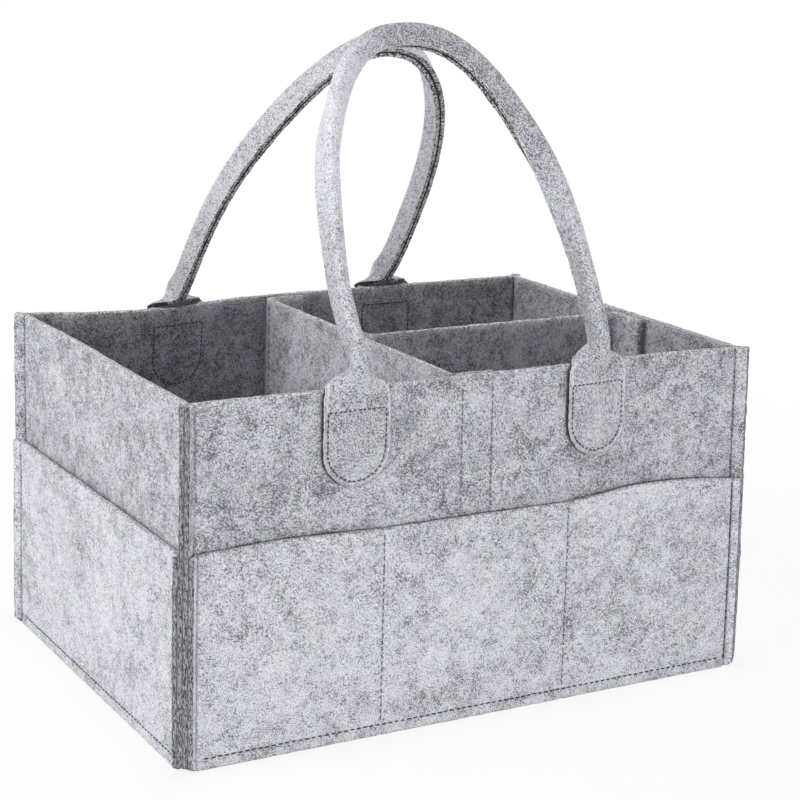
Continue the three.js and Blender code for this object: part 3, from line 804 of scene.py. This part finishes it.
# Handles
def lean_inward(wall, u, rise, depth):
    """Bends a flat handle inward above the rim. Rise runs up the strap from the rim, and depth
    inward from its outer face."""
    lean, bend = HANDLE_LEAN[wall.name], LEAN_BEND[wall.name]
    angle = lean * np.clip(rise / bend, 0, 1)
    radius = bend / lean
    rest = np.clip(rise - bend, 0, None)
    inward = radius * (1 - np.cos(angle)) + rest * np.sin(angle) + depth * np.cos(angle)
    up = np.minimum(rise, 0) + radius * np.sin(angle) + rest * np.cos(angle) - depth * np.sin(angle)
    return from_wall(wall, u, SECOND_PLY + FELT - inward, RIM + up)


def arch_line(half, foot, reach, power, spread):
    """Left half of the arch, as evenly spaced (u, rise) points from foot to crown."""
    turn = np.linspace(0, math.pi / 2, 600)
    climb = np.sin(turn) ** (2 / power)
    bow = 1 + spread * np.sin(math.pi * climb) ** 2
    u = -half * np.clip(np.cos(turn), 0, 1) ** (2 / power) * bow
    rise = foot + (reach - foot) * climb
    line = np.column_stack([u, rise])
    lengths = run_lengths(line)
    at = np.linspace(0, lengths[-1], round(lengths[-1] / ARCH_STEP) + 1)
    return points_along(at, lengths, line)


def folding(rise, low, high):
    """Share of the full fold at a height, so that the folding flanks close in along straight slopes."""
    share = np.clip((rise - low) / (high - low), 0, 1)
    return np.arccos(1 - 0.4 * share - 0.6 * smooth(share, 0, 1)) / (math.pi / 2)


def leg_rows(wall, half, power, spread, fade):
    """Middle line of half a strip from its left patch to the crown, with its half width, its fold and
    how far its spine stands out."""
    radius = PATCH_WIDTH / 2
    turn = np.radians(np.linspace(5, 90, 18))
    round_rise = PATCH_FOOT + radius * (1 - np.cos(turn))
    leg_rise = np.append(round_rise, stations(round_rise[-1], ARCH_FOOT, PATCH_STEP)[1:])
    arch = arch_line(half, ARCH_FOOT, HANDLE_REACH[wall.name], power, spread)[1:]
    line = np.concatenate([np.stack([np.full(len(leg_rise), -half), leg_rise], axis=-1), arch])
    folded = folding(line[:, 1], *FOLD[wall.name])
    low, high = SHOULDER[wall.name]
    taper = np.clip((line[:, 1] - low) / (high - low), 0, 1)
    width = STRAP_HALF_WIDTH + (radius - STRAP_HALF_WIDTH) * (1 - taper) ** 2
    width[:len(turn)] = radius * np.sin(turn)
    spare = SPARE_PUSH[wall.name] * np.clip(width - STRAP_HALF_WIDTH, 0, None)
    ridge = spare + RIDGE[wall.name] * (1 - smooth(line[:, 1], RIDGE_START, fade))
    ridge = ridge * folded ** RIDGE_POWER[wall.name]
    return np.column_stack([line, width, folded * FULL_FOLD, ridge])


def strip_rows(wall, half):
    """The same for the whole strip, from patch to patch."""
    shapes = zip(ARCH_POWER[wall.name], ARCH_SPREAD[wall.name], RIDGE_FADE[wall.name])
    near, far = (leg_rows(wall, half, *shape) for shape in shapes)
    far[:, 0] *= -1
    rows = np.concatenate([near, far[-2::-1]])
    return rows[:, :2], rows[:, 2], rows[:, 3], rows[:, 4]


def strip_section(place, fold):
    """Across and depth of a place on the strip's width, folded about its spine."""
    far = np.abs(place)
    bent = np.minimum(far, SPINE_ARC)
    radius = SPINE_ARC / np.maximum(fold, 1e-6)
    turn = bent / radius
    across = radius * np.sin(turn) + (far - bent) * np.cos(fold)
    depth = radius * (1 - np.cos(turn)) + (far - bent) * np.sin(fold)
    return np.sign(place) * across, depth


def twisted(wall, share, across, depth):
    """Turns the strap about its own middle, so that its raw edges face into the arch near the crown."""
    turn = sum(
        math.radians(angle) * smooth(share, *rise) * (1 - smooth(share, *fall))
        for angle, rise, fall in TWISTS[wall.name]
    )
    cos, sin = np.cos(turn)[:, None], np.sin(turn)[:, None]
    centre = (STRAP_DEPTH - FELT) / 2
    return across * cos + (depth - centre) * sin, centre + (depth - centre) * cos - across * sin


def patch_outline(inset):
    """Line of stitches around a patch, as (across, rise) points from its upper left corner."""
    radius = PATCH_WIDTH / 2 - inset
    top, foot = PATCH_SEAM_TOP, PATCH_FOOT + inset
    turn = np.linspace(0, -math.pi, 40)
    arc = np.stack([radius * np.cos(turn), foot + radius + radius * np.sin(turn)], axis=-1)
    return np.concatenate([[[-radius, top], [radius, top]], arc, [[-radius, top]]])


def outside_seam(spots, margin, fold):
    """Which points of a strip lie between a patch's stitches and its cut edge."""
    radius = PATCH_WIDTH / 2
    across, rise = spots.T
    drop = np.minimum(rise - PATCH_FOOT - radius, 0)
    beyond = np.hypot(across, drop) > radius - STITCH_INSET + 0.5
    flat = np.repeat(fold < FLAT_FOLD, STRIP_COLUMNS)
    below = rise < PATCH_SEAM_TOP
    return np.where(below, beyond, flat & (margin.ravel() < STITCH_INSET))


def fine_line(corners, step=0.6):
    parts = [straight(a, b, step) for a, b in zip(corners, corners[1:]) if np.hypot(*(b - a)) > 1e-6]
    return np.concatenate(parts)


def add_handle(wall, seed):
    name = wall.name
    centres = [wall_u(wall, f"{name}_{side}_patch") for side in wall.sides]
    shift, half = sum(centres) / 2, (centres[1] - centres[0]) / 2
    line, width, fold, ridge = strip_rows(wall, half)
    lengths = run_lengths(line)
    share = lengths / lengths[-1]
    width = width * (1 - CROWN_TRIM[name] * bell(share, CROWN_SPOT, CROWN_REACH))
    fold = fold - FOLD_OPENS[name] * bell(share, OPEN_SPOT, OPEN_REACH)
    along = unit(np.gradient(line, axis=0))
    along[line[:, 1] <= ARCH_FOOT] = [0, 1]
    along[(line[:, 1] <= ARCH_FOOT) & (line[:, 0] > 0)] = [0, -1]
    place = np.linspace(-1, 1, STRIP_COLUMNS) * width[:, None]
    across, depth = strip_section(place, fold[:, None])
    across, depth = twisted(wall, share, across, depth)
    depth = depth - ridge[:, None]
    u = line[:, :1] + across * along[:, 1:]
    rise = line[:, 1:] - across * along[:, :1]
    points = settle(lean_inward(wall, u + shift, rise, FELT / 2 + depth)).reshape(-1, 3)
    seam = fine_line(patch_outline(STITCH_INSET))
    spots = np.stack([np.abs(np.abs(u) - half), rise], axis=-1).reshape(-1, 2)
    near = spots[:, 1] < 0
    distance = np.full(len(spots), 1e3)
    half_seam = np.column_stack([np.abs(seam[:, 0]), seam[:, 1]])
    distance[near] = np.min(np.linalg.norm(spots[near, None] - half_seam, axis=2), axis=1)
    outer = FELT / 2 - PATCH_GROOVE * groove(distance)
    outer = outer + 0.5 * UNEVEN * ripple(u.ravel(), rise.ravel(), 14, seed)
    folded = fold[:, None] > SHUT_FOLD
    margin = width[:, None] - np.abs(place)
    pinch = SLIT_PINCH * folded * smooth(-margin, -SLIT_PINCH_WIDTH, 0)
    inner = FELT / 2 - pinch.ravel()
    # Points of the painted highlight along the patch rim outside its stitches.
    rim = outside_seam(spots, margin, fold)
    quads = grid_quads(len(line), STRIP_COLUMNS)
    slit = np.repeat(folded, STRIP_COLUMNS)
    piece = add_felt(
        f"{name}_handle_felt", points, quads, outer, inner, STRAP_FELT, seed, PATCH_EDGE_RADIUS, slit, rim)
    # Painted light and shade along the strap, carried to its felt as the tone attribute.
    tone = np.repeat(np.interp(share, *np.transpose(STRAP_PAINTED_LIGHT[name])), STRIP_COLUMNS)
    tone = np.concatenate([tone, tone, np.tile(tone[boundary_loop(quads)], 4)])
    piece.data.attributes.new("tone", "FLOAT", "POINT").data.foreach_set("value", tone)
    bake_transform(piece)
    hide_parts(f"{name}_handle", *(f"{name}_{side}_patch" for side in wall.sides))
    for side, centre in zip(wall.sides, centres):
        front = lean_inward(wall, seam[:, 0] + centre, seam[:, 1], PATCH_GROOVE * GROOVE_DEPTH)
        back = from_wall(wall, seam[:, 0] + centre, 0, RIM + seam[:, 1])
        lines = [(front, wall_normal(wall)), (back, wall_normal(wall, -1))]
        node = f"{name}_{side}_patch_seam"
        add_stitches(f"{name}_{side}_patch_stitches", lines, DARK_THREAD, "caddy", [node], PATCH_PITCH)


# Base and dividers
def turned_down(flat, edge, radius):
    """Position and drop of a place on a sheet whose end is turned down at an edge."""
    far = np.abs(flat)
    bend = np.clip(far - (edge - radius), 0, radius * math.pi / 2)
    angle = bend / radius
    rest = np.clip(far - (edge - radius) - radius * math.pi / 2, 0, None)
    place = np.minimum(far, edge - radius) + radius * np.sin(angle)
    return np.sign(flat) * place, radius * (1 - np.cos(angle)) + rest


def add_base(seed):
    radius = FELT
    level = FLOOR_TOP - FELT / 2
    edges = np.array([HALF_LENGTH, HALF_WIDTH]) - PLY_GAP - FELT / 2
    spare = level - radius + radius * math.pi / 2
    axes = []
    for edge in edges:
        inside = stations(radius - edge, edge - radius, 6.0)
        turned = edge - radius + np.linspace(0, spare, 8)[1:]
        axes.append(np.concatenate([-turned[::-1], inside, turned]))
    flat_x, flat_y = np.meshgrid(*axes)
    x, drop_x = turned_down(flat_x, edges[0], radius)
    y, drop_y = turned_down(flat_y, edges[1], radius)
    points = settle(np.stack([x, y, level - drop_x - drop_y], axis=-1)).reshape(-1, 3)
    quads = grid_quads(*flat_x.shape)
    notch = (drop_x > 1e-6) & (drop_y > 1e-6)
    quads = quads[~notch.ravel()[quads].any(axis=1)]
    used, quads = np.unique(quads, return_inverse=True)
    quads = quads.reshape(-1, 4)
    points = points[used]
    half = FELT / 2 + 0.5 * UNEVEN * ripple(points[:, 0], points[:, 1], 20, seed)
    piece = add_felt("base_panel_felt", points, quads, half, half, PANEL_FELT, seed)
    dress(piece, "caddy", ["base_panel"])


def rounded_line(corners, radius):
    """Fine line through the corners with each inner one rounded, and the length at each bend."""
    corners = [np.asarray(corner, float) for corner in corners]
    points, bends = [corners[0]], []
    for before, corner, after in zip(corners, corners[1:], corners[2:]):
        into, onward = unit(before - corner), unit(after - corner)
        centre = corner + into * radius + onward * radius
        turn = np.linspace(0, math.pi / 2, 12)[:, None]
        points.append(centre - onward * radius * np.cos(turn) - into * radius * np.sin(turn))
        bends.append(len(np.vstack(points)) - 6)
    line = np.vstack([*points, corners[-1]])
    lengths = run_lengths(line)
    return line, lengths, lengths[bends]


def upright_sheet(name, corners, seams, seed):
    """Felt sheet standing on the base along a rounded plan line, with upright seams."""
    line, lengths, bends = rounded_line(corners, FELT)
    at = stations(0, lengths[-1], COARSE_STEP, [*bends, *seams])
    plan = points_along(at, lengths, line)
    z = stations(DIVIDER_LOW, DIVIDER_HIGH, COARSE_STEP)
    points = np.concatenate([np.broadcast_to(plan, (len(z), *plan.shape)),
                             np.broadcast_to(z[:, None, None], (len(z), len(plan), 1))], axis=-1)
    points = settle(points, DIVIDER_HIGH).reshape(-1, 3)
    pressed = sum((groove(at - seam) for seam in seams), 0 * at)
    half = FELT / 2 - np.minimum(pressed, GROOVE_DEPTH) + 0 * z[:, None]
    outer = half + UNEVEN * ripple(at, z[:, None], 17, seed)
    inner = half + UNEVEN * ripple(at, z[:, None], 19, seed + 1)
    quads = grid_quads(len(z), len(at))
    piece = add_felt(name, points, quads, outer, inner, DIVIDER_FELT, seed)
    return piece, lengths[-1]


def add_dividers():
    low, high = box_mm("cross_divider")
    x, y0, y1 = low[0] + FELT / 2, low[1] + FELT / 2, high[1] - FELT / 2
    flange = high[0] - x
    corners = [(high[0], y0), (x, y0), (x, y1), (high[0], y1)]
    start = flange - FELT * (2 - math.pi / 2)
    seams = [start + FOLD_SEAM, start + (y1 - y0) - FOLD_SEAM]
    piece, length = upright_sheet("cross_divider_felt", corners, seams, 61)
    dress(piece, "divider", ["cross_divider"])
    lines = []
    for y in (y0 + FOLD_SEAM, y1 - FOLD_SEAM):
        for side in (-1, 1):
            face = x + side * (FELT / 2 - GROOVE_DEPTH)
            ends = [(face, y, DIVIDER_LOW + SEAM_END), (face, y, DIVIDER_HIGH - SEAM_END)]
            lines.append((straight(*ends), (side, 0, 0)))
    add_stitches("cross_divider_stitches", lines, GREY_THREAD, "divider")

    flap_low, flap_high = box_mm("long_divider_flap")
    low, high = box_mm("long_divider")
    y, x0, x1 = flap_low[1] + FELT / 2, flap_low[0] + FELT / 2, high[0] - FELT / 2
    corners = [(x0, flap_high[1]), (x0, y), (x1, y), (x1, low[1])]
    piece, length = upright_sheet("long_divider_felt", corners, [], 62)
    start, end = (((flap_high[0] + step) * MM, y * MM, 0) for step in FLAP_BEND)
    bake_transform(piece)
    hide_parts("long_divider", "long_divider_flap")


# Tapes
def tape_axes(node, facing):
    """Corner, directions and size of a tape: across, up and out of its working face."""
    low, high = box_mm(node)
    thin = int(np.argmin(high - low))
    wide = 1 - thin
    out = np.zeros(3)
    out[thin] = facing
    across = np.cross(out, (0, 0, 1))
    back = low.copy()
    back[thin] = low[thin] if facing > 0 else high[thin]
    back[wide] = low[wide] if across[wide] > 0 else high[wide]
    return back, across, out, (high - low)[wide], (high - low)[2], (high - low)[thin]


def add_tape(node, facing, body, hooks):
    """Tape with a woven selvedge and a pile of loops or rows of small hooks."""
    corner, across, out, width, tall, thick = tape_axes(node, facing)
    draw = np.random.default_rng(len(node))
    columns, rows = stations(0, width, 1.0), stations(0, tall, 1.2)[:, None]
    edge = np.minimum(columns, width - columns)
    pile = smooth(edge, 0.6, TAPE_SELVEDGE) * np.ones_like(rows)
    base = TAPE_BACKING / 2
    outer = base + 0 * pile
    if not hooks:
        outer = base + pile * (thick - TAPE_BACKING) * draw.uniform(0.45, 1.0, pile.shape)
    points = corner + columns[None, :, None] * across + rows[..., None] * np.array([0, 0, 1.0]) + base * out
    quads = grid_quads(len(rows), len(columns))[:, ::-1]
    level = body_level(body)
    points = settle(points, level).reshape(-1, 3)
    made, faces = thin_sheet(points, quads, outer.ravel(), np.full(outer.size, base))
    if hooks:
        spots = [
            corner + a * across + np.array([0, 0, b]) + 2 * base * out
            for a in np.arange(TAPE_SELVEDGE, width - TAPE_SELVEDGE, HOOK_PITCH[0])
            for b in np.arange(TAPE_SELVEDGE, tall - TAPE_SELVEDGE, HOOK_PITCH[1])
        ]
        hook_points, hook_faces = hook_mesh(settle(np.array(spots), level), across, out)
        faces += (np.array(hook_faces) + len(made)).tolist()
        made = np.concatenate([made, hook_points])
    piece = add_mesh(f"{node}_woven", made, faces, (HOOK_TAPE if hooks else LOOP_TAPE,))
    dress(piece, body, [node])


def thin_sheet(points, quads, outer, inner):
    """Closed sheet with a plain edge, for tapes."""
    normals = point_normals(points, quads)
    loop = boundary_loop(quads)
    count = len(points)
    rim = np.stack([np.roll(loop, -1), loop, loop + count, np.roll(loop, -1) + count], axis=-1)
    faces = np.concatenate([quads, quads[:, ::-1] + count, rim]).tolist()
    both = np.concatenate([points + normals * outer[:, None], points - normals * inner[:, None]])
    return both, faces


def hook_mesh(spots, across, out):
    """Small hooks that rise from the tape and curl over upward."""
    up = np.array([0, 0, 1.0])
    route = [(0.0, -0.1), (0.0, 0.25), (0.12, 0.42), (0.34, 0.46)]
    rings = []
    for step, height in route:
        for side, lift in ((-0.16, -0.12), (0.16, -0.12), (0.16, 0.12), (-0.16, 0.12)):
            rings.append(side * across + (step + lift) * up + height * out)
    points = spots[:, None] + np.array(rings)
    at = np.arange(points.shape[0] * points.shape[1]).reshape(len(spots), len(route), 4)
    beside = np.roll(at, -1, axis=2)
    sides = np.stack([at[:, :-1], beside[:, :-1], beside[:, 1:], at[:, 1:]], axis=-1).reshape(-1, 4)
    caps = np.concatenate([at[:, 0, ::-1], at[:, -1]])
    return points.reshape(-1, 3), np.concatenate([sides, caps]).tolist()


add_base(5)
for number, wall in enumerate(WALLS):
    add_panel(wall, 10 * number)
    add_pocket(wall, 10 * number + 3)
    add_wall_stitches(wall)
    for side, place in zip(wall.sides, (-1, 1)):
        add_corner_stitches(wall, place, f"{wall.name}_{side}")
    if wall.sides:
        add_handle(wall, 10 * number + 6)
add_dividers()
for node, facing, body, hooks in (
    ("front_loop_tape", 1, "caddy", False), ("front_hook_tape", -1, "divider", True),
    ("rear_loop_tape", -1, "caddy", False), ("rear_hook_tape", 1, "divider", True),
    ("right_loop_tape", -1, "caddy", False), ("right_hook_tape", 1, "long_divider", True),
    ("cross_loop_tape", 1, "divider", False), ("flap_hook_tape", -1, "divider", True),
):
    add_tape(node, facing, body, hooks)


# Camera, floor and light
def add_camera():
    data = bpy.data.cameras.new("photo_camera")
    data.lens = CAMERA_LENS
    camera = bpy.data.objects.new("photo_camera", data)
    yaw, pitch, roll = (math.radians(angle) for angle in CAMERA_ANGLES)
    turn = Matrix.Rotation(-yaw, 4, "Z") @ Matrix.Rotation(math.pi / 2 - pitch, 4, "X")
    turn = turn @ Matrix.Rotation(-roll, 4, "Z")
    camera.matrix_world = Matrix.Translation(np.array(CAMERA_PLACE) * MM) @ turn
    bpy.context.scene.collection.objects.link(camera)
    bpy.context.scene.camera = camera


def add_floor():
    shader = Shader("floor_paint", 0.9)
    grain = shader.noise(shader.place((1, 1, 1)), 40.0)
    colour = shader.mix(grain, linear(238, 238, 239), linear(244, 244, 245))
    shader.tree.links.new(colour, shader.surface.inputs["Base Color"])
    ray = shader.add("ShaderNodeLightPath", "Is Camera Ray")
    glow = shader.add("ShaderNodeEmission", inputs={"Color": (1, 1, 1, 1), "Strength": 1.0})
    spot = shader.add("ShaderNodeTexCoord", "Object")
    distance = shader.add("ShaderNodeVectorMath", 1, {"operation": "LENGTH"}, {0: spot})
    share = shader.math("MULTIPLY", ray, shader.spread(distance, *FLOOR_FADE, FLOOR_GLOW, 1.0))
    mixed = shader.add("ShaderNodeMixShader", inputs={0: share, 1: shader.surface.outputs[0], 2: glow})
    shader.tree.links.new(mixed, shader.tree.nodes["Material Output"].inputs["Surface"])
    corners = [(x * FLOOR_REACH, y * FLOOR_REACH, 0) for x, y in ((-1, -1), (1, -1), (1, 1), (-1, 1))]
    floor = add_mesh("floor", corners, [[0, 1, 2, 3]], (shader.material,))


def add_lamp(name, place, size, power):
    data = bpy.data.lights.new(name, "AREA")
    data.shape = "RECTANGLE"
    data.size, data.size_y = (side * MM for side in size)
    data.energy = power
    lamp = bpy.data.objects.new(name, data)
    turn = Vector(np.subtract(LAMP_AIM, place)).to_track_quat("-Z", "Y").to_matrix().to_4x4()
    lamp.matrix_world = Matrix.Translation(np.array(place) * MM) @ turn
    bpy.context.scene.collection.objects.link(lamp)


def add_world():
    world = bpy.data.worlds.new("studio")
    world.use_nodes = True
    nodes, links = world.node_tree.nodes, world.node_tree.links
    soft, white = nodes["Background"], nodes.new("ShaderNodeBackground")
    for light, strength in ((soft, 0.2), (white, 1.0)):
        light.inputs["Color"].default_value = (1, 1, 1, 1)
        light.inputs["Strength"].default_value = strength
    path = nodes.new("ShaderNodeLightPath")
    mixed = nodes.new("ShaderNodeMixShader")
    links.new(path.outputs["Is Camera Ray"], mixed.inputs[0])
    links.new(soft.outputs[0], mixed.inputs[1])
    links.new(white.outputs[0], mixed.inputs[2])
    links.new(mixed.outputs[0], nodes["World Output"].inputs["Surface"])
    bpy.context.scene.world = world


add_camera()
add_floor()
add_world()
add_lamp("left_lamp", (-1600, 100, 900), (1400, 900), 18)
add_lamp("front_lamp", (-300, -1800, 130), (2400, 220), 17.5)
add_lamp("rear_lamp", (200, 1800, 200), (2400, 300), 14)
add_lamp("right_lamp", (1700, 100, 450), (1200, 700), 13)
add_lamp("top_lamp", (0, 0, 2700), (500, 500), 27)
bpy.context.scene.view_settings.view_transform = "Standard"
